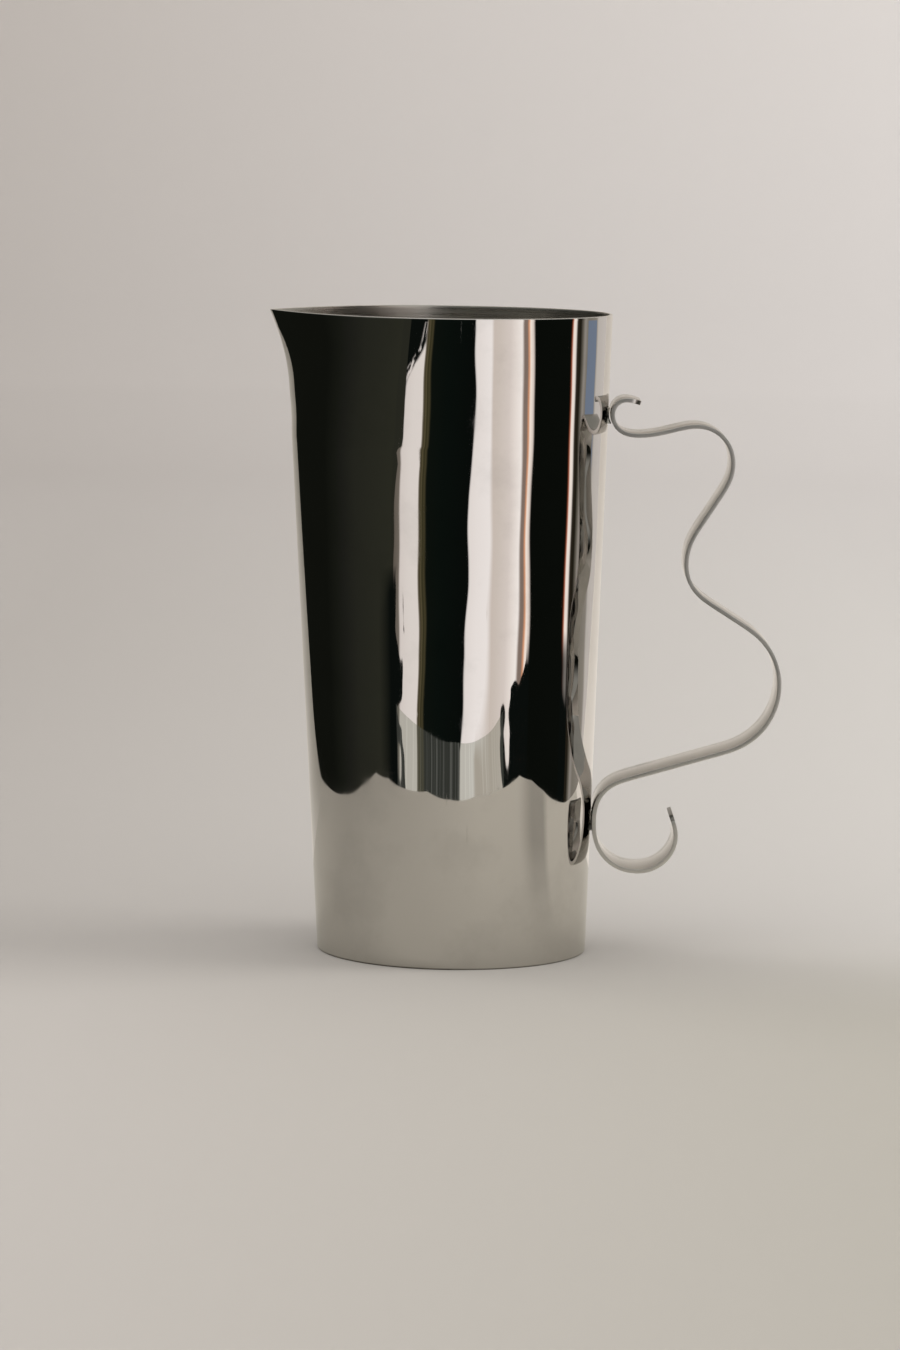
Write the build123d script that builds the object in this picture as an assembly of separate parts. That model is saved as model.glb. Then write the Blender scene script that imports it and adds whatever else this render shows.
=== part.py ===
from build123d import *
import math
import os

# Water pitcher: a slightly oblique sheet cone with a drawn pouring lip, and a bent strip handle.
# Millimetres. The origin is the centre of the foot on the surface it stands on, +Z is up,
# the lip points to -X and the handle is on +X. The pitcher is the same on both sides of y = 0.

# body
height = 230.0
foot_radius = 48.5
rim_radius = 58.5
rim_shift = -4.1  # the rim circle's centre leans towards the lip
wall = 1.0

# pouring lip
lip_start = 183.0  # below this height the wall is a plain cone
lip_waist = 203.0  # between lip_start and here the wall draws in a little before it flares
lip_reach = 5.5  # how far the lip's tip stands out past the cone at the rim
lip_waist_depth = 0.25
lip_flare_power = 1.9
lip_fold_power = 1.6
lip_fold_angle = 23.0  # how far each flank turns from a plain circle at the tip, degrees
lip_levels = [183.0, 194.0, 204.0, 212.0, 219.0, 225.0, 230.0]
round_handle_length = 0.5523  # Bezier handle length that makes a quarter circle of radius 1

# bottom
plate_set_in = 2.0
plate_thickness = 1.2
weld_leg = 1.3

# seam behind the handle
seam_width = 0.6

# handle strip
strip_width = 25.0
strip_thickness = 1.5
strip_edge_rounding = 0.3
strip_end_rounding = 3.0
joint_gap = 0.1  # solder film between the strip and the wall where they touch
upper_contact_height = 194.0
lower_contact_height = 48.0

# solder joints between the scrolls and the wall
upper_braze_height = 7.0
lower_braze_height = 10.0
braze_width = 23.0


def cone_at(z):
    """Radius and centre of the plain cone at a height."""
    share = z / height
    radius = foot_radius + (rim_radius - foot_radius) * share
    return radius, rim_shift * share


def lip_at(z):
    """How far the lip stands out at a height, and how far its flanks are folded, from 0 to 1."""
    if z <= lip_start:
        return 0.0, 0.0
    fold = ((z - lip_start) / (height - lip_start)) ** lip_fold_power
    if z <= lip_waist:
        along = (z - lip_start) / (lip_waist - lip_start)
        return -lip_waist_depth * math.sin(math.pi * along), fold
    along = (z - lip_waist) / (height - lip_waist)
    return lip_reach * along**lip_flare_power, fold


def wall_section(z, inset):
    """Closed outline of the wall at a height: a half circle to the handle, two flanks to the lip."""
    radius, centre = cone_at(z)
    reach, fold = lip_at(z)
    turn = math.radians(lip_fold_angle * fold)
    radius -= inset
    tip = centre - radius - reach - inset * (1 / math.cos(turn) - 1)
    back = radius * (round_handle_length - 0.04 * fold)
    front = radius * (round_handle_length - 0.02 * fold)
    near = Vector(centre, -radius, z)
    far = Vector(centre, radius, z)
    nose = Vector(tip, 0, z)
    pull = Vector(front * math.sin(turn), front * math.cos(turn), 0)
    handle_side = ThreePointArc(near, Vector(centre + radius, 0, z), far)
    far_flank = Bezier(far, far - Vector(back, 0, 0), nose + pull, nose)
    mirrored_pull = Vector(pull.X, -pull.Y, 0)
    near_flank = Bezier(nose, nose + mirrored_pull, near - Vector(back, 0, 0), near)
    return Wire([handle_side.edge(), far_flank.edge(), near_flank.edge()])


def body_solid(inset):
    """The body's filled shape, drawn in by an inset: a ruled cone and a smooth lip part on top."""
    lower = Solid.make_loft([wall_section(0, inset), wall_section(lip_start, inset)], True)
    upper = Solid.make_loft([wall_section(z, inset) for z in lip_levels], False)
    return lower + upper


def slab(low, high):
    """A wide block between two heights."""
    return Pos(0, 0, low) * Box(
        400, 400, high - low, align=(Align.CENTER, Align.CENTER, Align.MIN)
    )


def seam_block():
    """The gap between the sheet's two edges, at the back of the body."""
    return Box(
        200, seam_width, height * 2, align=(Align.MIN, Align.CENTER, Align.CENTER)
    )


def make_body_wall(outer, inner):
    """The rolled sheet, with an open seam behind the handle."""
    return outer - inner - seam_block()


def make_seam_weld(outer, inner):
    """Solder that fills the seam flush with both sides of the sheet."""
    return (outer - inner) & seam_block()


def make_base_plate(inner):
    """The bottom disc, cut to the inside of the wall and set in above the foot edge."""
    return inner & slab(plate_set_in, plate_set_in + plate_thickness)


def make_base_weld(inner):
    """A fillet of solder under the disc, all round the inside of the wall."""
    ring = inner & slab(plate_set_in - weld_leg, plate_set_in)
    radius, _ = cone_at(plate_set_in)
    hollow = Pos(0, 0, plate_set_in - weld_leg / 2) * Cone(
        radius - wall - 0.02, radius - wall - weld_leg, weld_leg
    )
    return ring - hollow


def contact_x(z):
    """Where the strip's middle line stands when its face touches the back of the body."""
    radius, centre = cone_at(z)
    return centre + radius + joint_gap + strip_thickness / 2


def handle_path():
    """The strip's middle line: straight runs between bends, from the upper tip to the lower."""
    upper_x = contact_x(upper_contact_height)
    lower_x = contact_x(lower_contact_height)
    upper_tip = (64.7, 198.9)
    # each bend: corner x, corner z, bend radius
    bends = [
        (upper_x, 203.0, 5.0),
        (upper_x, 187.3, 7.0),
        (68.0, 187.3, 29.0),
        (98.2, 195.0, 13.0),
        (98.2, 173.0, 15.0),
        (81.8, 147.6, 20.0),
        (81.8, 133.2, 14.5),
        (116.3, 111.5, 23.5),
        (116.3, 79.8, 24.5),
        (lower_x, 60.5, 12.5),
        (lower_x, 30.4, 15.2),
        (80.5, 30.4, 13.5),
        (80.5, 45.2, 6.0),
    ]
    lower_tip = (78.3, 51.0)
    corners = [upper_tip] + [(x, z) for x, z, _ in bends] + [lower_tip]
    points = [Vector(x, 0, z) for x, z in corners]
    return FilletPolyline(*points, radius=[radius for _, _, radius in bends])


def make_handle(path):
    """The flat strip bent along its path, with its end corners and its long edges rounded."""
    line = path.wire()
    ends = [line @ 0, line @ 1]
    section_plane = Plane(ends[0], x_dir=(0, 1, 0), z_dir=line % 0)
    section = section_plane * Rectangle(strip_width, strip_thickness)
    strip = sweep(section, path=line, transition=Transition.TRANSFORMED)
    end_corners = [
        edge
        for edge in strip.edges()
        if min((edge.center() - end).length for end in ends) < strip_width / 2 + 0.01
        and is_across_thickness(edge)
    ]
    strip = fillet(end_corners, strip_end_rounding)
    sides = [face for face in strip.faces() if abs(face.center().Y) > strip_width / 2 - 0.01]
    long_edges = [
        edge for face in sides for edge in face.edges() if not is_across_thickness(edge)
    ]
    return fillet(long_edges, strip_edge_rounding)


def is_across_thickness(edge):
    """Whether an edge is as long as the strip is thick."""
    return abs(edge.length - strip_thickness) < 0.01


def make_braze(outer, strip, contact_z, tall):
    """Solder that fills the wedge between the wall and the scroll that touches it."""
    x = contact_x(contact_z)
    block = Pos(x - 2.5, 0, contact_z) * Box(5.0, braze_width, tall)
    pieces = (block - outer - strip).solids()
    return pieces.sort_by(Axis.X)[0]


def build_parts():
    outer = body_solid(0)
    inner = body_solid(wall)
    strip = make_handle(handle_path())
    return {
        "body_wall": make_body_wall(outer, inner),
        "body_seam_weld": make_seam_weld(outer, inner),
        "base_plate": make_base_plate(inner),
        "base_weld": make_base_weld(inner),
        "handle_strip": strip,
        "upper_braze": make_braze(outer, strip, upper_contact_height, upper_braze_height),
        "lower_braze": make_braze(outer, strip, lower_contact_height, lower_braze_height),
    }


os.makedirs("parts", exist_ok=True)
for name, part in build_parts().items():
    export_step(part, f"parts/{name}.step")
    print(name, round(part.volume, 1), "mm3")
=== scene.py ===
import math
import bpy
from mathutils import Euler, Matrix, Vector


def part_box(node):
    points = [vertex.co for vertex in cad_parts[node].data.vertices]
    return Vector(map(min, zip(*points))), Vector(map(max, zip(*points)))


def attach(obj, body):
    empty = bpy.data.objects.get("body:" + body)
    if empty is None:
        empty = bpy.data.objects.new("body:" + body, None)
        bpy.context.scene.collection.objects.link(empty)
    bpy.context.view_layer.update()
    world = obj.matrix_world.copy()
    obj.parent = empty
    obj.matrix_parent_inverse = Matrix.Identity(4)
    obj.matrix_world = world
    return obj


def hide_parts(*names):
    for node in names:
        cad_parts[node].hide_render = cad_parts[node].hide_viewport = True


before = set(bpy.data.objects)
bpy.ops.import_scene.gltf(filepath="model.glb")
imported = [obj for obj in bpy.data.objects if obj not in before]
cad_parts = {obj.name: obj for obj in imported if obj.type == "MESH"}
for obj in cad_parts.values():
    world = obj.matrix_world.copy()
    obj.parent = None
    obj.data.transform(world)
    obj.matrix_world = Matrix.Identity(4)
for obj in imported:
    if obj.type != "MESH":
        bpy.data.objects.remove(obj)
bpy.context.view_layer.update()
wallLow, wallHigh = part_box("body_wall")
plateLow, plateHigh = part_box("base_plate")
solderLow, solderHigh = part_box("base_weld")
print("frame loaded with", len(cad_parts), "CAD nodes")


# helpers for the modelling

def deselectAll():
    active = bpy.context.object
    if active and active.mode != "OBJECT":
        bpy.ops.object.mode_set(mode="OBJECT")
    bpy.ops.object.select_all(action="DESELECT")


def pick(piece):
    deselectAll()
    piece.select_set(True)
    bpy.context.view_layer.objects.active = piece


def nameActive(name):
    piece = bpy.context.active_object
    piece.name = name
    piece.data.name = name
    return piece


def selectEdges(piece, test):
    # picks edges by their place, then goes to edit mode
    pick(piece)
    mesh = piece.data
    for group in (mesh.vertices, mesh.edges, mesh.polygons):
        for item in group:
            item.select = False
    for edge in mesh.edges:
        a, b = (mesh.vertices[i].co for i in edge.vertices)
        edge.select = bool(test(a, b))
    bpy.ops.object.mode_set(mode="EDIT")
    bpy.ops.mesh.select_mode(type="EDGE")


def addModifier(piece, kind, **settings):
    modifier = piece.modifiers.new(kind.lower(), kind)
    for key, value in settings.items():
        setattr(modifier, key, value)


def applyModifiers(piece):
    pick(piece)
    for modifier in list(piece.modifiers):
        bpy.ops.object.modifier_apply(modifier=modifier.name)


def nextRing(move, grow, centre):
    # pulls the open ring on by a move and widens it about its new centre
    bpy.ops.mesh.extrude_edges_move(TRANSFORM_OT_translate={"value": move})
    bpy.ops.transform.resize(value=(grow, grow, 1), center_override=centre)


def smoothShade(piece, degrees):
    pick(piece)
    bpy.ops.object.shade_smooth_by_angle(angle=math.radians(degrees))


def handOver(piece, slotName, *nodes):
    pick(piece)
    bpy.ops.object.transform_apply(location=True, rotation=True, scale=True)
    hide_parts(*nodes)
    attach(piece, "root")
    print("made", piece.name, "in place of", ", ".join(nodes), "with", len(piece.data.polygons), "faces")


# helpers for the materials

def newMaterial(name):
    material = bpy.data.materials.new(name)
    material.use_nodes = True
    material.node_tree.nodes.clear()
    return material, material.node_tree


def addNode(tree, kind, **settings):
    node = tree.nodes.new(kind)
    for key, value in settings.items():
        setattr(node, key, value)
    return node


def feed(tree, value, socket):
    # a link where the value is a socket, else the socket's own number
    if isinstance(value, bpy.types.NodeSocket):
        tree.links.new(value, socket)
    else:
        socket.default_value = value


def mathNode(tree, operation, *values):
    node = addNode(tree, "ShaderNodeMath", operation=operation)
    for value, socket in zip(values, node.inputs):
        feed(tree, value, socket)
    return node.outputs[0]


def mapRange(tree, value, fromLow, fromHigh, toLow=0.0, toHigh=1.0, kind="LINEAR"):
    node = addNode(tree, "ShaderNodeMapRange", interpolation_type=kind)
    for number, socket in zip((value, fromLow, fromHigh, toLow, toHigh), node.inputs):
        feed(tree, number, socket)
    return node.outputs[0]


def mixColours(tree, factor, first, second):
    node = addNode(tree, "ShaderNodeMix", data_type="RGBA")
    feed(tree, factor, node.inputs[0])
    feed(tree, first, node.inputs[6])
    feed(tree, second, node.inputs[7])
    return node.outputs[2]


def ramp(tree, factor, stops, kind="LINEAR"):
    node = addNode(tree, "ShaderNodeValToRGB")
    node.color_ramp.interpolation = kind
    elements = node.color_ramp.elements
    elements[0].position, elements[1].position = stops[0][0], stops[-1][0]
    elements[0].color, elements[1].color = stops[0][1], stops[-1][1]
    for place, colour in stops[1:-1]:
        elements.new(place).color = colour
    feed(tree, factor, node.inputs[0])
    return node.outputs[0]


def objectPlace(tree, scale=(1, 1, 1), turn=(0, 0, 0)):
    place = addNode(tree, "ShaderNodeTexCoord")
    mapping = addNode(tree, "ShaderNodeMapping")
    mapping.inputs["Scale"].default_value = scale
    mapping.inputs["Rotation"].default_value = turn
    tree.links.new(place.outputs["Object"], mapping.inputs["Vector"])
    return mapping.outputs[0]


def objectAxes(tree):
    # x, y and z of a point in the object's own frame
    split = addNode(tree, "ShaderNodeSeparateXYZ")
    tree.links.new(addNode(tree, "ShaderNodeTexCoord").outputs["Object"], split.inputs[0])
    return list(split.outputs)


def fromUpright(tree, x, y):
    # distance from the upright line through the origin
    squares = [mathNode(tree, "POWER", side, 2.0) for side in (x, y)]
    return mathNode(tree, "SQRT", mathNode(tree, "ADD", *squares))


def noise(tree, place, size, detail=2.0, roughness=0.5):
    node = addNode(tree, "ShaderNodeTexNoise")
    tree.links.new(place, node.inputs["Vector"])
    node.inputs["Scale"].default_value = size
    node.inputs["Detail"].default_value = detail
    node.inputs["Roughness"].default_value = roughness
    return node.outputs[0]


def bump(tree, height, strength, distance, before=None):
    node = addNode(tree, "ShaderNodeBump")
    node.inputs["Strength"].default_value = strength
    node.inputs["Distance"].default_value = distance
    tree.links.new(height, node.inputs["Height"])
    if before is not None:
        tree.links.new(before, node.inputs["Normal"])
    return node.outputs[0]


def metal(tree, colour, roughness, normal, **sockets):
    shader = addNode(tree, "ShaderNodeBsdfPrincipled")
    shader.inputs["Metallic"].default_value = 1.0
    feed(tree, colour, shader.inputs["Base Color"])
    feed(tree, roughness, shader.inputs["Roughness"])
    if normal is not None:
        tree.links.new(normal, shader.inputs["Normal"])
    for key, value in sockets.items():
        feed(tree, value, shader.inputs[key.replace("_", " ")])
    output = addNode(tree, "ShaderNodeOutputMaterial")
    tree.links.new(shader.outputs[0], output.inputs["Surface"])


def matt(tree, colour):
    shader = addNode(tree, "ShaderNodeBsdfDiffuse")
    feed(tree, colour, shader.inputs["Color"])
    output = addNode(tree, "ShaderNodeOutputMaterial")
    tree.links.new(shader.outputs[0], output.inputs["Surface"])


def toLinear(colour):
    # an 0 to 255 screen colour as light
    parts = [c / 255 for c in colour]
    return [p / 12.92 if p <= 0.04045 else ((p + 0.055) / 1.055) ** 2.4 for p in parts]


# the metals

polish = {
    "colour": (0.63, 0.612, 0.585, 1),
    "hazeColour": (0.57, 0.555, 0.53, 1),
    "roughness": 0.012,
    "hazeRoughness": 0.06,
    "lowHaze": 0.55,
    "waveSize": 30.0,
    "waveHeight": 0.0005,
    "scratchHeight": 0.000002,
    # painted shade: a dark line round the foot's edge where it meets the floor
    "contactShadeColour": (0.16, 0.15, 0.13, 1),
    "contactShadeHeights": (0.0007, 0.0002),
    "lowHazeTop": 0.075,
    "waveStretch": (1, 1, 0.6),
    "scratchRoughness": 0.12,
    # size, detail and roughness of each pattern, and the part of it that shows
    "hazePattern": (38.0, 5.0, 0.62),
    "hazeRange": (0.5, 0.72),
    "scratchRange": (0.69, 0.75),
    "patchPattern": (45.0, 3.0, 0.6),
    "patchRange": (0.57, 0.66),
}


def polishedSilver():
    material, tree = newMaterial("polishedSilver")
    # slow waves left by rolling and hand polishing
    waves = noise(tree, objectPlace(tree, polish["waveStretch"]), polish["waveSize"], 1.0, 0.4)
    # a thin haze where it has been handled, and more of it towards the foot
    haze = mapRange(tree, noise(tree, objectPlace(tree), *polish["hazePattern"]), *polish["hazeRange"])
    z = objectAxes(tree)[2]
    lowHaze = mapRange(tree, z, polish["lowHazeTop"], 0.0, 0.0, polish["lowHaze"])
    haze = mathNode(tree, "MINIMUM", mathNode(tree, "ADD", haze, lowHaze), 1.0)
    # hair scratches: two thin stretched patterns, each only where a coarse one lets it through
    scratches = scratchLines(tree, (0, math.radians(20), 0), (900, 900, 14))
    moreScratches = scratchLines(tree, (math.radians(8), math.radians(-50), 0), (700, 700, 10))
    lines = mathNode(tree, "MAXIMUM", scratches, moreScratches)
    colour = mixColours(tree, haze, polish["colour"], polish["hazeColour"])
    # a thin dark line of painted shade round the foot's edge, where it meets the floor
    contactShade = mapRange(tree, z, *polish["contactShadeHeights"])
    colour = mixColours(tree, contactShade, colour, polish["contactShadeColour"])
    roughness = mapRange(tree, haze, 0.0, 1.0, polish["roughness"], polish["hazeRoughness"])
    scratched = mathNode(tree, "MULTIPLY", lines, polish["scratchRoughness"])
    roughness = mathNode(tree, "ADD", roughness, scratched)
    normal = bump(tree, waves, 1.0, polish["waveHeight"])
    normal = bump(tree, lines, 0.6, polish["scratchHeight"], normal)
    metal(tree, colour, roughness, normal)
    return material


def scratchLines(tree, turn, scale):
    fine = noise(tree, objectPlace(tree, scale, turn), 1.0, 1.0, 0.4)
    coarse = noise(tree, objectPlace(tree, (1, 1, 1), turn), *polish["patchPattern"])
    line = mapRange(tree, fine, *polish["scratchRange"])
    return mathNode(tree, "MULTIPLY", line, mapRange(tree, coarse, *polish["patchRange"]))


inside = {
    "colour": (0.56, 0.54, 0.505, 1),
    "darkColour": (0.4, 0.385, 0.35, 1),
    "grainScale": (26, 26, 2600),
    "grainHeight": 0.00004,
}


def brushedInside():
    # a fine grain that runs round the inside of the sheet
    material, tree = newMaterial("brushedInside")
    grain = noise(tree, objectPlace(tree, inside["grainScale"]), 1.0, 4.0, 0.6)
    patches = noise(tree, objectPlace(tree, (1, 1, 6)), 24.0, 3.0, 0.55)
    colour = mixColours(tree, mapRange(tree, grain, 0.3, 0.7), inside["darkColour"], inside["colour"])
    roughness = mapRange(tree, mathNode(tree, "ADD", grain, patches), 0.7, 1.3, 0.2, 0.36)
    normal = bump(tree, grain, 0.5, inside["grainHeight"])
    metal(tree, colour, roughness, normal, Anisotropic=0.5)
    return material


strip = {
    "width": 0.025,
    "thickness": 0.0015,
    "edgeRounding": 0.0007,
    "endRounding": 0.003,
    "step": 0.0011,
    "smoothingPasses": 14,
    "colour": (0.52, 0.51, 0.495, 1),
    "hazeColour": (0.45, 0.44, 0.425, 1),
    "edgeColour": (0.80, 0.785, 0.755, 1),
    "wornColour": (0.68, 0.665, 0.635, 1),
    # painted reflection: dark lines along both corners of the sheared edge
    "paintedEdgeLineColour": (0.24, 0.232, 0.215, 1),
    "paintedEdgeLineDepths": (0.00008, 0.00025),
    "lineScale": (14.0, 1500.0),  # along the strip and across it
    "glancingTint": (0.74, 0.73, 0.71, 1),
}


def handleSilver():
    # mirror faces with faint lines along the strip from rolling
    material, tree = newMaterial("handleSilver")
    along = addNode(tree, "ShaderNodeAttribute", attribute_name="along")
    flat = addNode(tree, "ShaderNodeCombineXYZ")
    for i, distance in enumerate((along.outputs["Fac"], objectAxes(tree)[1])):
        tree.links.new(mathNode(tree, "MULTIPLY", distance, strip["lineScale"][i]), flat.inputs[i])
    lines = noise(tree, flat.outputs[0], 1.0, 3.0, 0.6)
    haze = mapRange(tree, noise(tree, objectPlace(tree), 55.0, 4.0, 0.6), 0.45, 0.75)
    waves = noise(tree, objectPlace(tree), 60.0, 1.0, 0.4)
    colour = mixColours(tree, haze, strip["colour"], strip["hazeColour"])
    roughness = mapRange(tree, mathNode(tree, "ADD", haze, lines), 0.3, 1.5, 0.04, 0.14)
    normal = bump(tree, waves, 1.0, 0.00005)
    normal = bump(tree, lines, 0.25, 0.000003, normal)
    metal(tree, colour, roughness, normal, Specular_Tint=strip["glancingTint"])
    return material


def handleEdge():
    # the sheared edges, filed and rubbed: softer than the faces
    material, tree = newMaterial("handleEdge")
    nicks = noise(tree, objectPlace(tree, (1, 0.2, 1)), 420.0, 4.0, 0.65)
    wear = mapRange(tree, noise(tree, objectPlace(tree), 70.0, 3.0, 0.6), 0.35, 0.65)
    colour = mixColours(tree, wear, strip["edgeColour"], strip["wornColour"])
    # painted reflection: dark lines along the corners where the edge turns into the faces
    outwards = mathNode(tree, "ABSOLUTE", objectAxes(tree)[1])
    corner = mapRange(tree, outwards, *[strip["width"] / 2 - depth for depth in strip["paintedEdgeLineDepths"]])
    colour = mixColours(tree, corner, colour, strip["paintedEdgeLineColour"])
    roughness = mapRange(tree, mathNode(tree, "ADD", nicks, wear), 0.4, 1.6, 0.3, 0.42)
    normal = bump(tree, nicks, 0.12, 0.00004)
    metal(tree, colour, roughness, normal)
    return material


solder = {
    "colour": (0.58, 0.565, 0.53, 1),
    "dullColour": (0.36, 0.345, 0.31, 1),
}


def silverSolder():
    # cleaned solder: soft ripples, grey in the hollows
    material, tree = newMaterial("silverSolder")
    ripples = noise(tree, objectPlace(tree), 650.0, 4.0, 0.55)
    tarnish = mapRange(tree, noise(tree, objectPlace(tree), 220.0, 4.0, 0.6), 0.4, 0.7)
    colour = mixColours(tree, tarnish, solder["colour"], solder["dullColour"])
    roughness = mapRange(tree, tarnish, 0.0, 1.0, 0.18, 0.42)
    normal = bump(tree, ripples, 0.5, 0.0001)
    metal(tree, colour, roughness, normal)
    return material


turned = {
    "colour": (0.56, 0.545, 0.51, 1),
    "stainColour": (0.42, 0.405, 0.37, 1),
    "ringScale": 3000.0,
}


def turnedBottom():
    # a disc faced on a lathe: close rings round its centre
    material, tree = newMaterial("turnedBottom")
    x, y, z = objectAxes(tree)
    rings = addNode(tree, "ShaderNodeCombineXYZ")
    radius = mathNode(tree, "MULTIPLY", fromUpright(tree, x, y), turned["ringScale"])
    tree.links.new(radius, rings.inputs[0])
    grooves = noise(tree, rings.outputs[0], 1.0, 4.0, 0.6)
    stains = mapRange(tree, noise(tree, objectPlace(tree), 60.0, 5.0, 0.6), 0.45, 0.7)
    colour = mixColours(tree, stains, turned["colour"], turned["stainColour"])
    roughness = mapRange(tree, mathNode(tree, "ADD", grooves, stains), 0.4, 1.5, 0.16, 0.36)
    normal = bump(tree, grooves, 0.5, 0.00003)
    metal(tree, colour, roughness, normal)
    return material


# the body: a slanted sheet cone with the lip drawn out of its rim

body = {
    "segments": 224,
    "height": wallHigh.z,
    "thickness": 0.001,
    "rimRadius": wallHigh.y,
    "rimShift": wallHigh.x - wallHigh.y,
    "footRadius": 0.0485,
    "lipStart": 0.183,
    "lipWaist": 0.203,
    "lipWaistDepth": 0.00025,
    "lipFlarePower": 1.9,
    "lipFoldPower": 1.6,
    "lipFoldAngle": math.radians(23),
    "roundPull": 0.5523,  # curve handle that makes a quarter circle of radius 1
    "sideEase": 0.04,  # how much shorter the handles get where the lip is folded
    "tipEase": 0.02,
    "coneStep": 0.004,
    "lipStep": 0.0012,
    "rimRoundness": 0.0003,
    "footRoundness": 0.0004,
}
body["lipReach"] = body["rimShift"] - body["rimRadius"] - wallLow.x


def coneAt(z):
    share = z / body["height"]
    radius = body["footRadius"] + (body["rimRadius"] - body["footRadius"]) * share
    return radius, body["rimShift"] * share


def lipAt(z):
    start, waist, top = body["lipStart"], body["lipWaist"], body["height"]
    fold = ((z - start) / (top - start)) ** body["lipFoldPower"]
    if z <= waist:
        return -body["lipWaistDepth"] * math.sin(math.pi * (z - start) / (waist - start)) ** 2, fold
    return body["lipReach"] * ((z - waist) / (top - waist)) ** body["lipFlarePower"], fold


def lipPoint(x, y, z):
    # draws a point of the round ring out to the lip, along a curve from the side to the tip
    radius, centre = coneAt(z)
    angle = abs(math.atan2(y, x - centre))
    if angle <= math.pi / 2 + 1e-6:
        return x, y
    reach, fold = lipAt(z)
    t = angle / (math.pi / 2) - 1
    turn = body["lipFoldAngle"] * fold
    back = radius * (body["roundPull"] - body["sideEase"] * fold)
    front = radius * (body["roundPull"] - body["tipEase"] * fold)
    tip = centre - radius - reach
    xs = (centre, centre - back, tip + front * math.sin(turn), tip)
    ys = (radius, radius, front * math.cos(turn), 0)
    weights = ((1 - t) ** 3, 3 * t * (1 - t) ** 2, 3 * t * t * (1 - t), t ** 3)
    newX = sum(w * v for w, v in zip(weights, xs))
    newY = sum(w * v for w, v in zip(weights, ys))
    return newX, math.copysign(newY, y)


def bodyLevels():
    coneCount = round(body["lipStart"] / body["coneStep"])
    levels = [body["lipStart"] * i / coneCount for i in range(1, coneCount + 1)]
    lipHeight = body["height"] - body["lipStart"]
    lipCount = round(lipHeight / body["lipStep"])
    return levels + [body["lipStart"] + lipHeight * i / lipCount for i in range(1, lipCount + 1)]


def levelCutEdge(piece, height):
    # files the cut sheet level, since its thickness was added square to the slanted wall
    near = body["thickness"] * 0.6
    selectEdges(piece, lambda a, b: max(abs(a.z - height), abs(b.z - height)) < near)
    bpy.ops.transform.resize(value=(1, 1, 0), center_override=(0, 0, height))
    bpy.ops.object.mode_set(mode="OBJECT")


def roundCutEdge(piece, atHeight, size, steps):
    # rounds the two long edges of the sheet where it is cut off, not the short ones across it
    across = body["thickness"] * 1.2
    selectEdges(piece, lambda a, b: atHeight(a.z) and atHeight(b.z) and (a - b).length > across)
    bpy.ops.mesh.bevel(offset=size, segments=steps, profile=0.5, affect="EDGES")
    bpy.ops.object.mode_set(mode="OBJECT")


def makeBody():
    deselectAll()
    bpy.ops.mesh.primitive_circle_add(
        vertices=body["segments"], radius=body["footRadius"], fill_type="NOTHING"
    )
    piece = nameActive("pitcherBody")
    bpy.ops.object.mode_set(mode="EDIT")
    bpy.ops.mesh.select_all(action="SELECT")
    z, radius, centre = 0.0, body["footRadius"], 0.0
    for level in bodyLevels():  # the ring is pulled up and widened, one level at a time
        newRadius, newCentre = coneAt(level)
        nextRing((newCentre - centre, 0, level - z), newRadius / radius, (newCentre, 0, level))
        z, radius, centre = level, newRadius, newCentre
    bpy.ops.mesh.select_all(action="SELECT")
    bpy.ops.mesh.normals_make_consistent(inside=False)
    bpy.ops.object.mode_set(mode="OBJECT")
    for vertex in piece.data.vertices:
        if vertex.co.z > body["lipStart"] + 1e-6:
            vertex.co.x, vertex.co.y = lipPoint(*vertex.co)
    piece.data.materials.append(polishedSilver())
    piece.data.materials.append(brushedInside())
    addModifier(
        piece, "SOLIDIFY", thickness=body["thickness"], offset=-1, use_even_offset=True,
        material_offset=1, material_offset_rim=0,
    )
    applyModifiers(piece)
    levelCutEdge(piece, body["height"])
    levelCutEdge(piece, 0.0)
    roundCutEdge(piece, lambda z: z > body["height"] - 0.0002, body["rimRoundness"], 4)
    roundCutEdge(piece, lambda z: z < 0.0002, body["footRoundness"], 4)
    smoothShade(piece, 50)
    handOver(piece, "polished_silver", "body_wall")


# the seam behind the handle, dressed almost flush

seam = {
    "width": 0.0006,
    "proud": 0.00003,
    "steps": 46,
    "endGap": 0.0006,
}


def makeSeam():
    rimRadius, rimCentre = coneAt(body["height"])
    footX, topX = coneAt(0)[0], rimRadius + rimCentre
    bottomZ, topZ = seam["endGap"], body["height"] - seam["endGap"]
    drift = (topX - footX) / body["height"]
    thick = body["thickness"] + 2 * seam["proud"]
    startX = footX + drift * bottomZ + seam["proud"] - thick / 2
    deselectAll()
    bpy.ops.mesh.primitive_plane_add(size=seam["width"], location=(startX, 0, bottomZ))
    piece = nameActive("seamSolder")
    bpy.ops.object.mode_set(mode="EDIT")
    bpy.ops.mesh.select_all(action="SELECT")
    bpy.ops.transform.resize(value=(thick / seam["width"], 1, 1))
    rise = (topZ - bottomZ) / seam["steps"]
    for step in range(seam["steps"]):
        bpy.ops.mesh.extrude_region_move(TRANSFORM_OT_translate={"value": (drift * rise, 0, rise)})
    bpy.ops.mesh.select_all(action="SELECT")
    bpy.ops.mesh.normals_make_consistent(inside=False)
    bpy.ops.object.mode_set(mode="OBJECT")
    addModifier(piece, "BEVEL", width=0.00002, segments=2, limit_method="ANGLE")
    applyModifiers(piece)
    smoothShade(piece, 50)
    piece.data.materials.append(silverSolder())
    handOver(piece, "silver_solder", "body_seam_weld")


# the bottom disc, and the ring of solder that holds it

bottom = {
    "segments": 128,
    "overlap": 0.00005,
    "dish": 0.0003,
    "rings": 12,
    "solderLeg": 0.0013,
    "solderSteps": 7,
}


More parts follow.
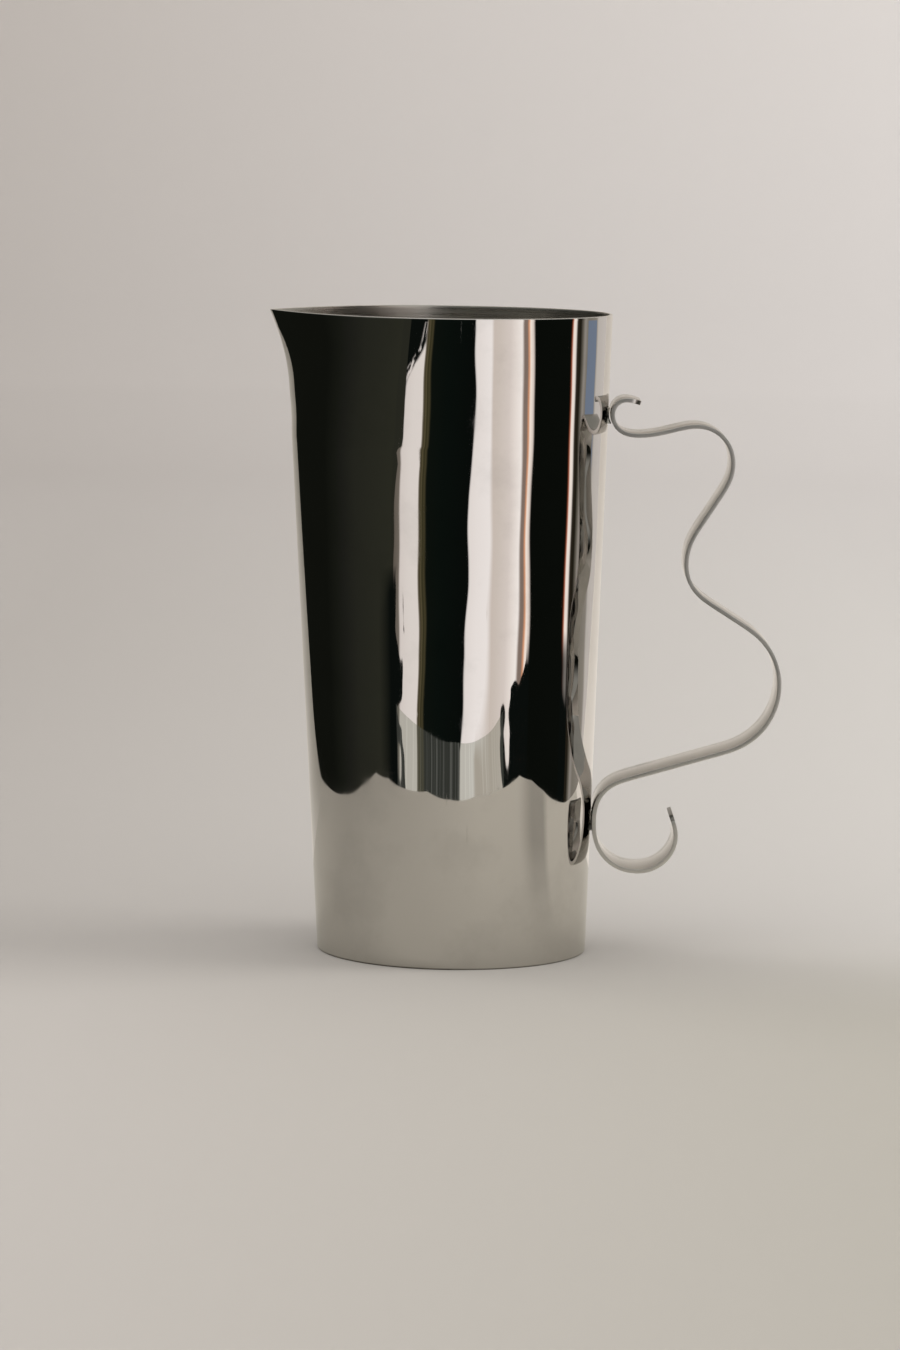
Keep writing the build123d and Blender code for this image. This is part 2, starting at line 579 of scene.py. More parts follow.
def makeBottom():
    radius = plateHigh.y + bottom["overlap"]
    deselectAll()
    bpy.ops.mesh.primitive_circle_add(
        vertices=bottom["segments"], radius=radius, fill_type="NGON", location=(0, 0, plateHigh.z)
    )
    piece = nameActive("bottomDisc")
    bpy.ops.object.mode_set(mode="EDIT")
    bpy.ops.mesh.select_all(action="SELECT")
    for ring in range(bottom["rings"]):
        bpy.ops.mesh.inset(thickness=radius / (bottom["rings"] + 1))
    bpy.ops.mesh.poke()
    bpy.ops.object.mode_set(mode="OBJECT")
    for vertex in piece.data.vertices:  # a shallow dish, as a spun disc has
        share = math.hypot(vertex.co.x, vertex.co.y) / radius
        vertex.co.z -= bottom["dish"] * (1 - min(1, share) ** 2)
    thick = plateHigh.z - plateLow.z - bottom["dish"]
    addModifier(piece, "SOLIDIFY", thickness=thick, offset=-1)
    addModifier(piece, "BEVEL", width=0.0001, segments=2, limit_method="ANGLE")
    applyModifiers(piece)
    smoothShade(piece, 40)
    piece.data.materials.append(turnedBottom())
    handOver(piece, "polished_silver", "base_plate")


def makeBottomSolder():
    leg, steps = bottom["solderLeg"], bottom["solderSteps"]
    low, high = solderLow.z, plateLow.z + bottom["dish"]
    outer = solderHigh.y + bottom["overlap"]
    deselectAll()
    bpy.ops.mesh.primitive_circle_add(
        vertices=bottom["segments"], radius=outer, fill_type="NOTHING", location=(0, 0, low)
    )
    piece = nameActive("bottomSolder")
    bpy.ops.object.mode_set(mode="EDIT")
    bpy.ops.mesh.select_all(action="SELECT")
    # a hollow quarter round from the wall to the disc, then back along the disc and down the wall
    profile = []
    for step in range(1, steps + 1):
        angle = math.pi / 2 * step / steps
        profile.append((outer - leg * (1 - math.cos(angle)), low + (high - low) * math.sin(angle)))
    profile += [(outer, high), (outer, low)]
    radius, z = outer, low
    for newRadius, newZ in profile:
        nextRing((0, 0, newZ - z), newRadius / radius, (0, 0, newZ))
        radius, z = newRadius, newZ
    bpy.ops.mesh.select_all(action="SELECT")
    bpy.ops.mesh.remove_doubles(threshold=0.00001)
    bpy.ops.mesh.normals_make_consistent(inside=False)
    bpy.ops.object.mode_set(mode="OBJECT")
    smoothShade(piece, 40)
    piece.data.materials.append(silverSolder())
    handOver(piece, "silver_solder", "base_weld")


# the handle: one flat strip bent edge on, from the upper scroll to the lower one

touch = {
    "upperHeight": 0.194,
    "lowerHeight": 0.048,
    "gap": 0.0001,
}
upperX = sum(coneAt(touch["upperHeight"])) + touch["gap"] + strip["thickness"] / 2
lowerX = sum(coneAt(touch["lowerHeight"])) + touch["gap"] + strip["thickness"] / 2
handleRoute = {
    "upperTip": (0.0647, 0.1989),
    "lowerTip": (0.0783, 0.0510),
    "bends": [  # x, z and radius of each bend, from the upper tip to the lower
        (upperX, 0.2030, 0.0050),
        (upperX, 0.1873, 0.0070),
        (0.0680, 0.1873, 0.0290),
        (0.0982, 0.1950, 0.0130),
        (0.0982, 0.1730, 0.0150),
        (0.0818, 0.1476, 0.0200),
        (0.0818, 0.1332, 0.0145),
        (0.1163, 0.1115, 0.0235),
        (0.1163, 0.0798, 0.0245),
        (lowerX, 0.0605, 0.0125),
        (lowerX, 0.0304, 0.0152),
        (0.0805, 0.0304, 0.0135),
        (0.0805, 0.0452, 0.0060),
    ],
}


def bendPoints(before, corner, after, radius):
    # points round one bend, from where its arc leaves the first run to where it meets the next
    inward = (before - corner).normalized()
    outward = (after - corner).normalized()
    half = inward.angle(outward) / 2
    centre = corner + (inward + outward).normalized() * (radius / math.sin(half))
    start = corner + inward * (radius / math.tan(half))
    end = corner + outward * (radius / math.tan(half))
    sweep = (start - centre).angle(end - centre)
    count = max(3, round(sweep * radius / 0.0004))
    points = []
    for i in range(count + 1):
        blend = (math.sin(sweep * (1 - i / count)), math.sin(sweep * i / count))
        arm = (start - centre) * blend[0] + (end - centre) * blend[1]
        points.append(centre + arm / math.sin(sweep))
    return points


def evenPoints(points, step):
    # the same line, cut into equal steps
    lengths = [0.0]
    for a, b in zip(points, points[1:]):
        lengths.append(lengths[-1] + (b - a).length)
    count = round(lengths[-1] / step)
    even, at = [], 0
    for i in range(count + 1):
        wanted = lengths[-1] * i / count
        while at < len(points) - 2 and lengths[at + 1] < wanted:
            at += 1
        share = (wanted - lengths[at]) / (lengths[at + 1] - lengths[at])
        even.append(points[at].lerp(points[at + 1], share))
    return even


def handleLine():
    corners = [handleRoute["upperTip"]]
    corners += [(x, z) for x, z, radius in handleRoute["bends"]]
    corners.append(handleRoute["lowerTip"])
    corners = [Vector(c) for c in corners]
    line = [corners[0]]
    for i, bend in enumerate(handleRoute["bends"], start=1):
        line += bendPoints(corners[i - 1], corners[i], corners[i + 1], bend[2])
    line.append(corners[-1])
    line = evenPoints(line, strip["step"])
    # the curvature changes slowly, as hand bending leaves it
    for turn in range(strip["smoothingPasses"]):
        middle = [(a + 2 * b + c) / 4 for a, b, c in zip(line, line[1:], line[2:])]
        line = [line[0]] + middle + [line[-1]]
    return [Vector((p.x, 0, p.y)) for p in line]


def halfWidthAt(distance):
    # half the strip's width at a distance from its end, where the corners are rounded
    rounding = strip["endRounding"]
    if distance >= rounding:
        return strip["width"] / 2
    return strip["width"] / 2 - rounding + math.sqrt(rounding ** 2 - (rounding - distance) ** 2)


def endSteps(line):
    # puts extra points close to both ends, for the rounded corners
    extra = [0.00012, 0.0004, 0.0008, 0.0015]
    first = (line[1] - line[0]).normalized()
    last = (line[-2] - line[-1]).normalized()
    head = [line[0] + first * d for d in extra]
    tail = [line[-1] + last * d for d in reversed(extra)]
    return [line[0]] + head + line[2:-2] + tail + [line[-1]]


def makeHandle():
    line = endSteps(handleLine())
    lengths = [0.0]
    for a, b in zip(line, line[1:]):
        lengths.append(lengths[-1] + (b - a).length)
    widths = [halfWidthAt(min(d, lengths[-1] - d)) for d in lengths]
    deselectAll()
    bpy.ops.mesh.primitive_plane_add(size=2 * widths[0], location=line[0])
    piece = nameActive("handleStrip")
    bpy.ops.object.mode_set(mode="EDIT")
    bpy.ops.mesh.select_all(action="SELECT")
    bpy.ops.transform.resize(value=(0, 1, 1))  # the plane folds to one edge across the strip
    bpy.ops.mesh.remove_doubles(threshold=0.00001)
    bpy.ops.mesh.select_mode(type="EDGE")
    bpy.ops.mesh.select_all(action="SELECT")
    for i in range(1, len(line)):
        bpy.ops.mesh.extrude_edges_move(TRANSFORM_OT_translate={"value": line[i] - line[i - 1]})
        wider = widths[i] / widths[i - 1]
        bpy.ops.transform.resize(value=(1, wider, 1), center_override=line[i])
    bpy.ops.object.mode_set(mode="OBJECT")
    storeAlong(piece, line, lengths)
    piece.data.materials.append(handleSilver())
    piece.data.materials.append(handleEdge())
    addModifier(
        piece, "SOLIDIFY", thickness=strip["thickness"], offset=0, use_even_offset=True,
        material_offset_rim=1,
    )
    addModifier(
        piece, "BEVEL", width=strip["edgeRounding"], segments=4, limit_method="ANGLE",
        angle_limit=math.radians(60), material=1,
    )
    applyModifiers(piece)
    smoothShade(piece, 40)
    handOver(piece, "handle_silver", "handle_strip")


def storeAlong(piece, line, lengths):
    # how far along the strip each point lies, for the grain
    attribute = piece.data.attributes.new("along", "FLOAT", "POINT")
    for vertex in piece.data.vertices:
        place = Vector((vertex.co.x, 0, vertex.co.z))
        nearest = min(range(len(line)), key=lambda i: (line[i] - place).length_squared)
        attribute.data[vertex.index].value = lengths[nearest]


braze = {
    # shares of each joint's room that the solder fills, and of its width that the middle keeps
    "upper_braze": {"width": 0.62, "height": 0.8, "waist": 0.8},
    "lower_braze": {"width": 0.6, "height": 0.72, "waist": 0.85},
    "cuts": 3,
}


def makeBraze(name, node):
    # solder drawn into the wedge between the wall and the scroll that touches it
    share = braze[node]
    low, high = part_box(node)
    middle = (low + high) / 2
    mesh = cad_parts[node].data.copy()
    mesh.materials.clear()
    piece = bpy.data.objects.new(name, mesh)
    bpy.context.scene.collection.objects.link(piece)
    pick(piece)
    piece.data.name = name
    bpy.ops.object.mode_set(mode="EDIT")
    bpy.ops.mesh.select_all(action="SELECT")
    bpy.ops.mesh.remove_doubles(threshold=0.000002)
    bpy.ops.transform.resize(value=(1, share["width"], share["height"]), center_override=middle)
    bpy.ops.mesh.subdivide(number_cuts=braze["cuts"])
    bpy.ops.object.mode_set(mode="OBJECT")
    half = (high.z - low.z) / 2
    for vertex in piece.data.vertices:
        outwards = min(1, abs(vertex.co.z - middle.z) / half)
        vertex.co.y *= share["waist"] + (1 - share["waist"]) * outwards ** 2
    smoothShade(piece, 40)
    piece.data.materials.append(silverSolder())
    handOver(piece, "silver_solder", node)


# the stage: a pale round cove, a reflecting sheet and the light

stageSizes = {
    "floorRadius": 2.3,
    "coveRadius": 0.9,
    "coveSteps": 16,
    "wallTop": 2.6,
    "segments": 96,
    "sheetLift": 0.0001,
}

# painted light and shade on the pale cove: each zone lighter on one side than the other
paintedCoveLight = {
    "nearLeft": (0.556, 0.530, 0.503, 1),
    "nearRight": (0.494, 0.474, 0.430, 1),
    "farLeft": (0.453, 0.430, 0.408, 1),
    "farRight": (0.616, 0.599, 0.577, 1),
    "wallLeft": (0.545, 0.518, 0.497, 1),
    "wallRight": (0.752, 0.732, 0.722, 1),
    # how far to the sides each pair of tones reaches, and where one zone passes into the next
    "nearReach": 0.13,
    "farReach": 0.25,
    "wallReach": 0.43,
    "nearToFar": (-0.15, 0.08),
    "farToWall": (0.7, 3.0),
    "floorToWall": (0.0, 0.06),
    "paintedLightUpHeights": (0.12, 0.62),
    "paintedLightUpWall": 1.16,
}


def acrossTones(tree, x, zone):
    reach = paintedCoveLight[zone + "Reach"]
    left, right = paintedCoveLight[zone + "Left"], paintedCoveLight[zone + "Right"]
    return mixColours(tree, mapRange(tree, x, -reach, reach), left, right)


def paleCoveWithPaintedLight():
    # pale paint with painted light and shade: lighter up the wall and towards the handle side, but darker on
    # that side near the foot
    material, tree = newMaterial("paleCove")
    x, y, z = objectAxes(tree)
    near = acrossTones(tree, x, "near")
    far = acrossTones(tree, x, "far")
    wall = acrossTones(tree, x, "wall")
    passing = mapRange(tree, y, *paintedCoveLight["nearToFar"], kind="SMOOTHSTEP")
    colour = mixColours(tree, passing, near, far)
    rising = mathNode(
        tree, "MAXIMUM", mapRange(tree, z, *paintedCoveLight["floorToWall"], kind="SMOOTHSTEP"),
        mapRange(tree, y, *paintedCoveLight["farToWall"], kind="SMOOTHSTEP"),
    )
    colour = mixColours(tree, rising, colour, wall)
    # painted light: the cove grows lighter higher up the wall
    higher = addNode(tree, "ShaderNodeVectorMath", operation="SCALE")
    tree.links.new(colour, higher.inputs[0])
    paintedLightUpWall = mapRange(tree, z, *paintedCoveLight["paintedLightUpHeights"], 1.0, paintedCoveLight["paintedLightUpWall"])
    feed(tree, paintedLightUpWall, higher.inputs["Scale"])
    matt(tree, higher.outputs[0])
    return material


def makeCove():
    deselectAll()
    bpy.ops.mesh.primitive_circle_add(
        vertices=stageSizes["segments"], radius=stageSizes["floorRadius"], fill_type="NGON"
    )
    cove = nameActive("paleCove")
    bpy.ops.object.mode_set(mode="EDIT")
    bpy.ops.mesh.select_all(action="SELECT")
    bpy.ops.mesh.region_to_loop()
    radius, z = stageSizes["floorRadius"], 0.0
    profile = []
    for step in range(1, stageSizes["coveSteps"] + 1):
        angle = math.pi / 2 * step / stageSizes["coveSteps"]
        profile.append((
            stageSizes["floorRadius"] + stageSizes["coveRadius"] * math.sin(angle),
            stageSizes["coveRadius"] * (1 - math.cos(angle)),
        ))
    profile.append((stageSizes["floorRadius"] + stageSizes["coveRadius"], stageSizes["wallTop"]))
    for newRadius, newZ in profile:
        nextRing((0, 0, newZ - z), newRadius / radius, (0, 0, newZ))
        radius, z = newRadius, newZ
    bpy.ops.object.mode_set(mode="OBJECT")
    smoothShade(cove, 60)
    cove.data.materials.append(paleCoveWithPaintedLight())
    cove.visible_glossy = False


# what the polished metal sees: a sheet of pale board on a stand, and a dark room with windows past it

sheetOutline = [  # metres, round from the back left
    (-0.315, 0.190), (-0.320, 0.123), (-0.325, -0.002), (-0.318, -0.100), (-0.303, -0.184),
    (-0.257, -0.232), (-0.187, -0.267), (-0.096, -0.305), (-0.003, -0.312), (0.102, -0.309),
    (0.211, -0.289), (0.286, -0.263), (0.333, -0.240), (0.365, -0.166), (0.375, -0.088),
    (0.368, -0.005), (0.360, 0.067), (0.360, 0.190),
]
apronOutline = [
    (-0.325, -0.370), (-0.238, -0.392), (-0.117, -0.418), (0.023, -0.428), (0.182, -0.415),
    (0.292, -0.399), (0.345, -0.392), (0.235, -0.265), (0.102, -0.295), (0.0, -0.300),
    (-0.096, -0.290), (-0.200, -0.245),
]
paperRise = {
    "left": -0.315,
    "right": 0.36,
    "startY": 0.19,
    "bendRadius": 0.28,
    "bendSteps": 24,
    "top": 1.3,
}
# painted light and shade on the reflected paper: darker to the left, lighter to the right
paperPaintedLight = {
    "flatLeft": (0.39, 0.372, 0.335, 1),
    "flatRight": (0.56, 0.535, 0.482, 1),
    "riseLeft": (0.36, 0.345, 0.31, 1),
    "riseRight": (0.84, 0.80, 0.75, 1),
    "leftToRight": (-0.32, 0.1),
}
footShadow = {
    "colour": (0.05, 0.047, 0.042, 1),
    "depth": 0.4,
    "begins": (51.0, 67.0),  # bearings in degrees from the front towards the handle
    "ends": (81.0, 76.0),
    "deepens": (0.10, 0.27),  # distances from the pitcher's middle
}
apron = {
    "lets": (0.6, 0.62, 0.58, 1),  # the light that comes through
    # painted reflection: the card glows faintly, more along its streaks
    "paintedGlow": (0.045, 0.047, 0.042, 1),
    "paintedStreakGlow": (0.26, 0.265, 0.25, 1),
    "streaksRound": 34.0,
    "streakPattern": (1.0, 3.0, 0.65),
    "streakRange": (0.5, 0.78),
}


def hideFromView(card):
    # the card shows in reflections alone
    card.visible_camera = False
    card.visible_diffuse = False
    card.visible_shadow = False


def makePaperRise():
    # behind the pitcher the reflected paper bends up into a backdrop
    width = paperRise["right"] - paperRise["left"]
    middle = (paperRise["right"] + paperRise["left"]) / 2
    deselectAll()
    bpy.ops.mesh.primitive_plane_add(
        size=width, location=(middle, paperRise["startY"], stageSizes["sheetLift"])
    )
    card = nameActive("reflectedBackdrop")
    bpy.ops.object.mode_set(mode="EDIT")
    bpy.ops.mesh.select_all(action="SELECT")
    bpy.ops.transform.resize(value=(1, 0, 1))
    bpy.ops.mesh.remove_doubles(threshold=0.00001)
    bpy.ops.mesh.select_mode(type="EDGE")
    bpy.ops.mesh.select_all(action="SELECT")
    radius = paperRise["bendRadius"]
    profile = [(0.0, 0.0)]
    for step in range(1, paperRise["bendSteps"] + 1):
        angle = math.pi / 2 * step / paperRise["bendSteps"]
        profile.append((radius * math.sin(angle), radius * (1 - math.cos(angle))))
    profile.append((radius, paperRise["top"]))
    for (y, z), (newY, newZ) in zip(profile, profile[1:]):
        bpy.ops.mesh.extrude_edges_move(TRANSFORM_OT_translate={"value": (0, newY - y, newZ - z)})
    bpy.ops.object.mode_set(mode="OBJECT")
    bpy.ops.object.transform_apply(location=True, rotation=True, scale=True)
    card.data.materials.append(paperMaterial("risingPaper", "riseLeft", "riseRight"))
    hideFromView(card)


def makeOutlineCard(name, outline, lift, material):
    # a flat card cut to an outline, seen only in reflections
    deselectAll()
    bpy.ops.mesh.primitive_circle_add(vertices=len(outline), fill_type="NGON", location=(0, 0, lift))
    card = nameActive(name)
    for vertex, (x, y) in zip(card.data.vertices, outline):
        vertex.co.x, vertex.co.y = x, y
    bpy.ops.object.mode_set(mode="EDIT")
    bpy.ops.mesh.select_all(action="SELECT")
    bpy.ops.mesh.normals_make_consistent(inside=False)
    bpy.ops.object.mode_set(mode="OBJECT")
    card.data.materials.append(material)
    hideFromView(card)


def paperMaterial(name, left, right):
    material, tree = newMaterial(name)
    x, y, z = objectAxes(tree)
    # painted light and shade: the paper darker to the left and lighter to the right
    across = mapRange(tree, x, *paperPaintedLight["leftToRight"])
    colour = mixColours(tree, across, paperPaintedLight[left], paperPaintedLight[right])
    # a soft shadow that spreads out from the pitcher's foot towards the handle side
    bearing = mathNode(tree, "ARCTAN2", x, mathNode(tree, "MULTIPLY", y, -1.0))
    bearing = mathNode(tree, "MULTIPLY", bearing, math.degrees(1))
    shadow = allOf(
        tree, mapRange(tree, bearing, *footShadow["begins"], kind="SMOOTHSTEP"),
        mapRange(tree, bearing, *footShadow["ends"]),
        mapRange(tree, fromUpright(tree, x, y), *footShadow["deepens"], 0.0, footShadow["depth"]),
    )
    matt(tree, mixColours(tree, shadow, colour, footShadow["colour"]))
    return material


def apronMaterial():
    material, tree = newMaterial("apronPaintedReflection")
    through = addNode(tree, "ShaderNodeBsdfTransparent")
    through.inputs["Color"].default_value = apron["lets"]
    # painted reflection: a faint glow, with streaks that spread out from the pitcher's foot
    x, y, z = objectAxes(tree)
    bearing = addNode(tree, "ShaderNodeCombineXYZ")
    turn = mathNode(tree, "ARCTAN2", x, y)
    tree.links.new(mathNode(tree, "MULTIPLY", turn, apron["streaksRound"]), bearing.inputs[0])
    streaks = noise(tree, bearing.outputs[0], *apron["streakPattern"])
    streaks = mapRange(tree, streaks, *apron["streakRange"])
    paintedGlow = addNode(tree, "ShaderNodeEmission")
    paintedGlowColour = mixColours(tree, streaks, apron["paintedGlow"], apron["paintedStreakGlow"])
    tree.links.new(paintedGlowColour, paintedGlow.inputs["Color"])
    both = addNode(tree, "ShaderNodeAddShader")
    tree.links.new(through.outputs[0], both.inputs[0])
    tree.links.new(paintedGlow.outputs[0], both.inputs[1])
    output = addNode(tree, "ShaderNodeOutputMaterial")
    tree.links.new(both.outputs[0], output.inputs["Surface"])
    return material


# the room as bands round the horizon: degrees from the front towards the handle, and a screen colour

roomBands = {
    "seenThrough": (0.62, 0.60, 0.57),  # what the metal takes off
    "left": [
        (-180, (14, 15, 11)), (-104, (15, 16, 12)), (-92, (22, 23, 18)), (-84, (27, 27, 23)),
        (-72, (34, 34, 28)), (-40.5, (40, 40, 32)), (-39.8, (90, 82, 73)), (-34.9, (106, 98, 89)),
        (-34.2, (206, 196, 189)), (-27, (212, 203, 196)), (-19.6, (214, 205, 198)), (-18.9, (98, 88, 70)),
        (-17.8, (48, 44, 28)), (-16.8, (86, 78, 56)), (-15.8, (40, 38, 22)), (-14.4, (68, 62, 42)),
        (-12.6, (12, 16, 12)), (0, (9, 14, 11)),
    ],
    "right": [
        (0, (9, 14, 11)), (19.2, (8, 11, 9)), (19.8, (220, 211, 205)), (30.5, (229, 221, 216)),
        (32, (196, 183, 173)), (36, (198, 186, 176)), (44, (208, 196, 188)), (48, (222, 211, 203)),
        (53, (236, 227, 220)), (54.5, (125, 108, 98)), (57, (125, 108, 98)), (58.5, (214, 150, 110)),
        (59.5, (240, 226, 214)), (62, (205, 190, 180)), (63, (9, 11, 8)), (97.6, (10, 12, 9)),
        (99, (160, 82, 52)), (100.2, (238, 222, 210)), (102.6, (225, 214, 204)), (104.2, (42, 35, 27)),
        (108, (27, 24, 16)), (110.5, (92, 86, 76)), (113, (138, 131, 123)), (116.5, (112, 106, 96)),
        (128, (128, 121, 111)), (131, (176, 168, 160)), (180, (184, 176, 170)),
    ],
    "dark": (10, 13, 11),
    "shade": (38, 38, 31),
    "sky": (104, 113, 128),
    "ceiling": (155, 152, 144),
    "overhead": (196, 193, 187),
}
roomShapes = {
    # degrees, all of them: bearings as above, or heights above the horizon
    "leanHeights": (-12.5, -7.65),
    "lean": 12.6,
    "leanGrows": (-30.0, 8.0),
    "leanEnds": (20.0, 32.0),
    "leavesAcross": (-36.0, -19.0),
    "leavesFrom": (-7.5, -7.35),
    "leafPatch": (4.0, 0.25),
    "windowTop": (-7.2, -7.0),
    "frameHeights": (-10.4, -8.0),
    "frameEdges": (-39.6, -34.3),
    "frameBack": (-41.4, -40.8),
    "rufflePatch": (9.0, 0.8),
    "ruffle": (-4.5, 4.5),
    "rightFurniture": (30.0, 64.0),
    "rightSlope": (-11.2, -9.8, 43.0, 58.0),
    "rightTop": (-9.6, -9.9),
    "leftFurniture": (-52.0, -42.0),
    "leftSlope": (-11.6, -10.8, -32.5, -35.5),
    "leftTop": (-10.5, -10.8),
    "narrowWindow": (97.0, 105.5),
    "narrowTop": (-8.2, -9.0),
    "skyAcross": (116.5, 128.5),
    "skyHeights": (-6.0, -3.5),
    "ceilingFrom": (1.0, 30.0),
    "lightFrom": (50.0, 66.0),
}


def seenColour(colour):
    return [c / k for c, k in zip(toLinear(colour), roomBands["seenThrough"])] + [1]


def bandRamp(tree, azimuth, stops):
    low, high = stops[0][0], stops[-1][0]
    factor = mapRange(tree, azimuth, float(low), float(high))
    return ramp(tree, factor, [((a - low) / (high - low), seenColour(c)) for a, c in stops])


def allOf(tree, *masks):
    product = masks[0]
    for mask in masks[1:]:
        product = mathNode(tree, "MULTIPLY", product, mask)
    return product


def within(tree, value, low, high, soft):
    # 1 between two values and 0 outside, with soft ends
    rising = mapRange(tree, value, low - soft / 2, low + soft / 2)
    falling = mapRange(tree, value, high + soft / 2, high - soft / 2)
    return allOf(tree, rising, falling)


def roomPattern(tree, azimuth, level, across, up, detail):
    # an uneven pattern on the room's walls, whose patches are so many degrees wide and high
    place = addNode(tree, "ShaderNodeCombineXYZ")
    tree.links.new(mathNode(tree, "DIVIDE", azimuth, across), place.inputs[0])
    tree.links.new(mathNode(tree, "DIVIDE", level, up), place.inputs[1])
    return noise(tree, place.outputs[0], 1.0, detail, 0.6)


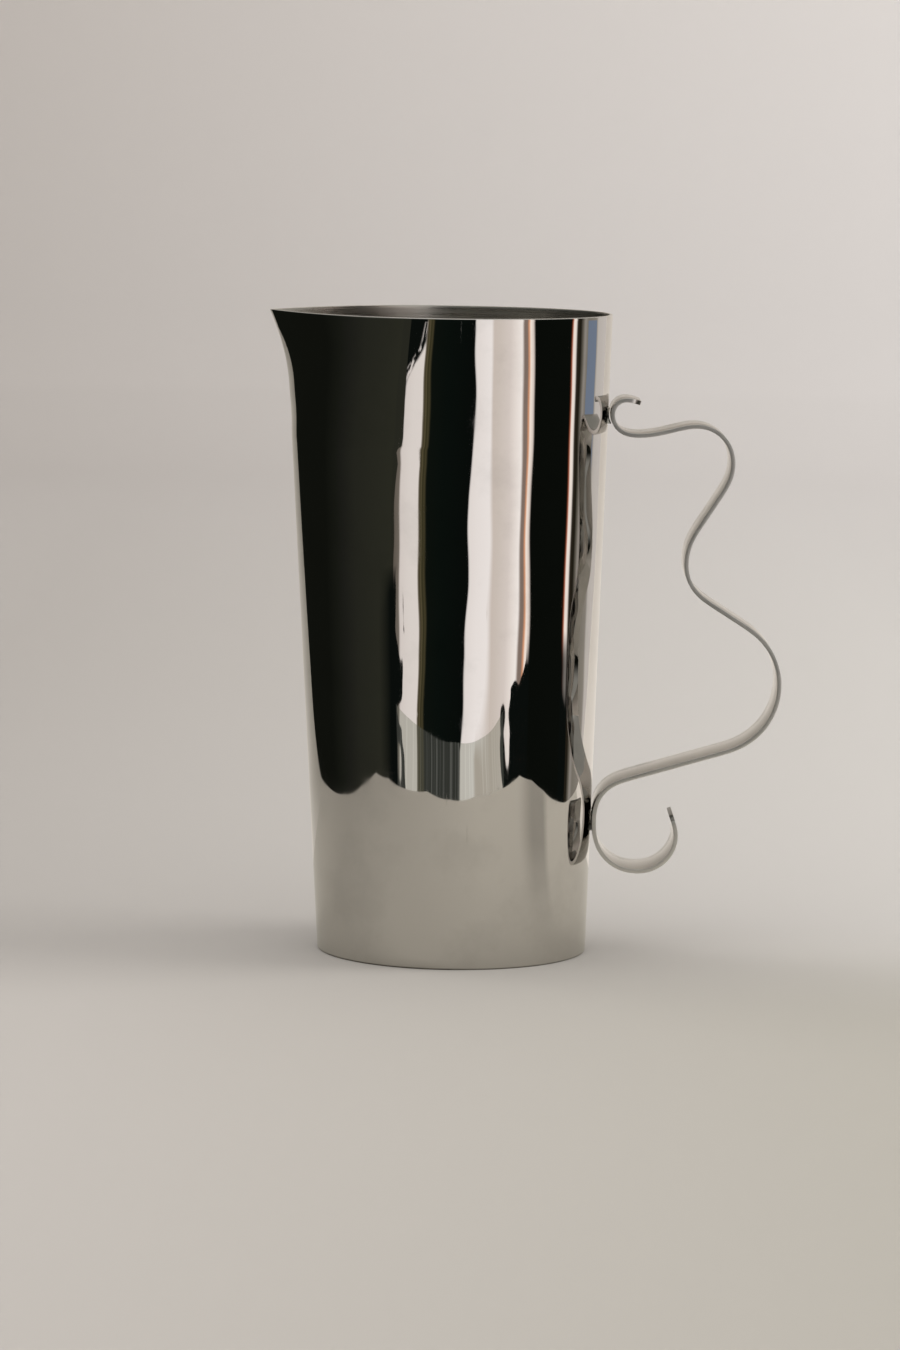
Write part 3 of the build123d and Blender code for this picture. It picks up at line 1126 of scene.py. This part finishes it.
def makeRoom():
    world = bpy.data.worlds.new("studioRoom")
    bpy.context.scene.world = world
    world.use_nodes = True
    tree = world.node_tree
    tree.nodes.clear()
    split = addNode(tree, "ShaderNodeSeparateXYZ")
    tree.links.new(addNode(tree, "ShaderNodeTexCoord").outputs["Generated"], split.inputs[0])
    x, y, z = split.outputs
    forward = mathNode(tree, "MULTIPLY", y, -1.0)
    azimuth = mathNode(tree, "MULTIPLY", mathNode(tree, "ARCTAN2", x, forward), math.degrees(1))
    level = mathNode(tree, "MULTIPLY", mathNode(tree, "ARCSINE", z), math.degrees(1))
    # the windows in front lean, so their bands drift to the left lower down
    lean = allOf(
        tree, mapRange(tree, level, *roomShapes["leanHeights"], roomShapes["lean"], 0.0),
        mapRange(tree, azimuth, *roomShapes["leanGrows"], 0.5, 1.0),
        mapRange(tree, azimuth, *roomShapes["leanEnds"], 1.0, 0.0),
    )
    leaning = mathNode(tree, "ADD", azimuth, lean)
    left = bandRamp(tree, leaning, roomBands["left"])
    right = bandRamp(tree, leaning, roomBands["right"])
    bands = mixColours(tree, mathNode(tree, "GREATER_THAN", leaning, 0.0), left, right)
    # leaves against the top of the left-hand window, and nothing bright above it
    leafShapes = roomPattern(tree, azimuth, level, *roomShapes["leafPatch"], 2.0)
    leafShapes = mathNode(
        tree, "MAXIMUM", mapRange(tree, leafShapes, 0.4, 0.5), mapRange(tree, level, *roomShapes["windowTop"])
    )
    leaves = allOf(
        tree, within(tree, azimuth, *roomShapes["leavesAcross"], 1.0),
        mapRange(tree, level, *roomShapes["leavesFrom"]), leafShapes,
    )
    bands = mixColours(tree, leaves, bands, seenColour(roomBands["dark"]))
    # its frame narrows to nothing higher up
    frameEdge = mapRange(tree, level, *roomShapes["frameHeights"], *roomShapes["frameEdges"])
    pastEdge = mapRange(tree, mathNode(tree, "SUBTRACT", frameEdge, leaning), -0.2, 0.2)
    shade = allOf(tree, pastEdge, mapRange(tree, leaning, *roomShapes["frameBack"]))
    bands = mixColours(tree, shade, bands, seenColour(roomBands["shade"]))
    # furniture stands before the foot of the right-hand window, and some beside the left-hand one
    ruffle = roomPattern(tree, azimuth, level, *roomShapes["rufflePatch"], 1.0)
    ruffle = mapRange(tree, ruffle, 0.3, 0.7, *roomShapes["ruffle"])
    reach = mathNode(tree, "ADD", mapRange(tree, level, *roomShapes["rightSlope"]), ruffle)
    furniture = allOf(
        tree, mathNode(tree, "GREATER_THAN", azimuth, reach),
        within(tree, azimuth, *roomShapes["rightFurniture"], 0.5),
        mapRange(tree, level, *roomShapes["rightTop"]),
    )
    reach = mathNode(tree, "ADD", mapRange(tree, level, *roomShapes["leftSlope"]), ruffle)
    leftFurniture = allOf(
        tree, mathNode(tree, "LESS_THAN", leaning, reach),
        mapRange(tree, leaning, *roomShapes["leftFurniture"]),
        mapRange(tree, level, *roomShapes["leftTop"]),
    )
    standing = mathNode(tree, "MAXIMUM", furniture, leftFurniture)
    bands = mixColours(tree, standing, bands, seenColour(roomBands["dark"]))
    # the narrow window at the side ends higher than the others
    narrow = within(tree, azimuth, *roomShapes["narrowWindow"], 0.3)
    narrow = allOf(tree, narrow, mapRange(tree, level, *roomShapes["narrowTop"]))
    bands = mixColours(tree, narrow, bands, seenColour(roomBands["dark"]))
    # a strip of sky beside it shows at one height only
    sky = within(tree, azimuth, *roomShapes["skyAcross"], 0.5)
    sky = allOf(tree, sky, within(tree, level, *roomShapes["skyHeights"], 0.2))
    bands = mixColours(tree, sky, bands, seenColour(roomBands["sky"]))
    # higher up the room turns to a grey ceiling with soft light straight above
    towardsCeiling = mapRange(tree, level, *roomShapes["ceilingFrom"], kind="SMOOTHSTEP")
    bands = mixColours(tree, towardsCeiling, bands, seenColour(roomBands["ceiling"]))
    towardsLight = mapRange(tree, level, *roomShapes["lightFrom"], kind="SMOOTHSTEP")
    bands = mixColours(tree, towardsLight, bands, seenColour(roomBands["overhead"]))
    reflected = addNode(tree, "ShaderNodeBackground")
    feed(tree, bands, reflected.inputs["Color"])
    plain = addNode(tree, "ShaderNodeBackground")
    plain.inputs["Color"].default_value = (1.0, 0.985, 0.965, 1)
    plain.inputs["Strength"].default_value = lightValues["fill"]
    chooser = addNode(tree, "ShaderNodeMixShader")
    feed(tree, addNode(tree, "ShaderNodeLightPath").outputs["Is Glossy Ray"], chooser.inputs[0])
    tree.links.new(plain.outputs[0], chooser.inputs[1])
    tree.links.new(reflected.outputs[0], chooser.inputs[2])
    output = addNode(tree, "ShaderNodeOutputWorld")
    tree.links.new(chooser.outputs[0], output.inputs["Surface"])


lightValues = {
    "fill": 1.04,
    "sideWindow": {"place": (2.2, 0.1, 0.75), "size": (1.4, 0.7), "power": 27.0},
    "backWindow": {"place": (-1.75, 1.1, 1.05), "size": (0.9, 0.9), "power": 6.5},
}


def makeLamp(name):
    values = lightValues[name]
    lamp = bpy.data.lights.new(name, "AREA")
    lamp.shape = "RECTANGLE"
    lamp.size, lamp.size_y = values["size"]
    lamp.energy = values["power"]
    lamp.color = (1.0, 0.98, 0.95)
    holder = bpy.data.objects.new(name, lamp)
    holder.location = values["place"]
    holder.rotation_euler = Vector(values["place"]).to_track_quat("Z", "Y").to_euler()
    holder.visible_glossy = False
    bpy.context.scene.collection.objects.link(holder)


shot = {
    "place": (-0.00184, -1.7663, 0.3026),
    "downTilt": 0.1146,
    "roll": 0.0148,
    "lens": 131.52,
}


def makeCamera():
    camera = bpy.data.cameras.new("camera")
    camera.sensor_width = 36
    camera.lens = shot["lens"]
    camera.clip_start = 0.05
    holder = bpy.data.objects.new("camera", camera)
    holder.location = shot["place"]
    tilt = Euler((math.pi / 2 - shot["downTilt"], 0, 0)).to_matrix()
    roll = Euler((0, 0, shot["roll"])).to_matrix()
    holder.rotation_euler = (tilt @ roll).to_euler()
    bpy.context.scene.collection.objects.link(holder)
    bpy.context.scene.camera = holder


makeBody()
makeSeam()
makeBottom()
makeBottomSolder()
makeHandle()
makeBraze("upperSolder", "upper_braze")
makeBraze("lowerSolder", "lower_braze")
print("object finished")

makeCove()
makePaperRise()
flatPaper = paperMaterial("flatPaper", "flatLeft", "flatRight")
makeOutlineCard("reflectedPaper", sheetOutline, stageSizes["sheetLift"], flatPaper)
makeOutlineCard("reflectedApron", apronOutline, -stageSizes["sheetLift"], apronMaterial())
makeRoom()
makeLamp("sideWindow")
makeLamp("backWindow")
makeCamera()
bpy.context.scene.view_settings.view_transform = "Standard"
print("stage, light and camera finished")
